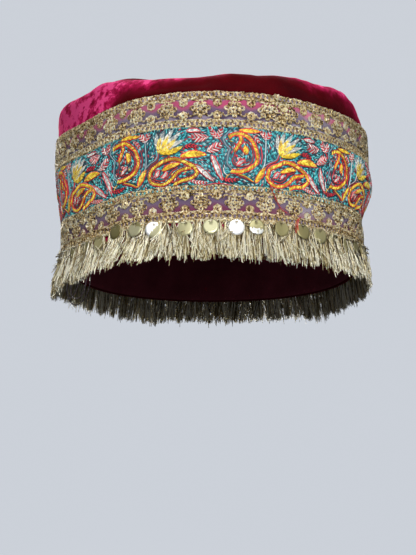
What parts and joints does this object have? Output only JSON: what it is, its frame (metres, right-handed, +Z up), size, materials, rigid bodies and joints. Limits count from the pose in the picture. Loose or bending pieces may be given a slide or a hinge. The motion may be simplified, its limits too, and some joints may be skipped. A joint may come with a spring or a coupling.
{
  "type": "kashmiri cap",
  "caption": "Soft round velvet cap with a low puffed crown, two gold ribbon trims around an embroidered band, and a hanging thread fringe with flat round sequins.",
  "frame": {"origin": "middle of the head opening, level with the mean lower edge of the velvet wall", "axes": "+Z up through the crown, -Y out of the front of the cap, +X to the right as seen from the front"},
  "size_m": [0.1786, 0.192, 0.1217],
  "materials": {
    "velvet": "crimson pile velvet, bright pink where the pile is seen edge on",
    "gold_ribbon": "woven ribbon of gold metallic thread loops and flowers on pink and mauve ground",
    "embroidered_cloth": "turquoise stitched ground with yellow, red and white chain stitch",
    "fringe_thread": "loose strands of pale gold metallic thread",
    "sequin": "thin pale gold mirror sequins, some bent"
  },
  "bodies": {
    "root": {"velvet_crown": "velvet", "velvet_side_wall": "velvet", "upper_gold_trim": "gold_ribbon", "embroidered_band": "embroidered_cloth", "lower_gold_trim": "gold_ribbon", "gold_thread_fringe": "fringe_thread", "sequin_row": "sequin"}
  },
  "joints": []
}
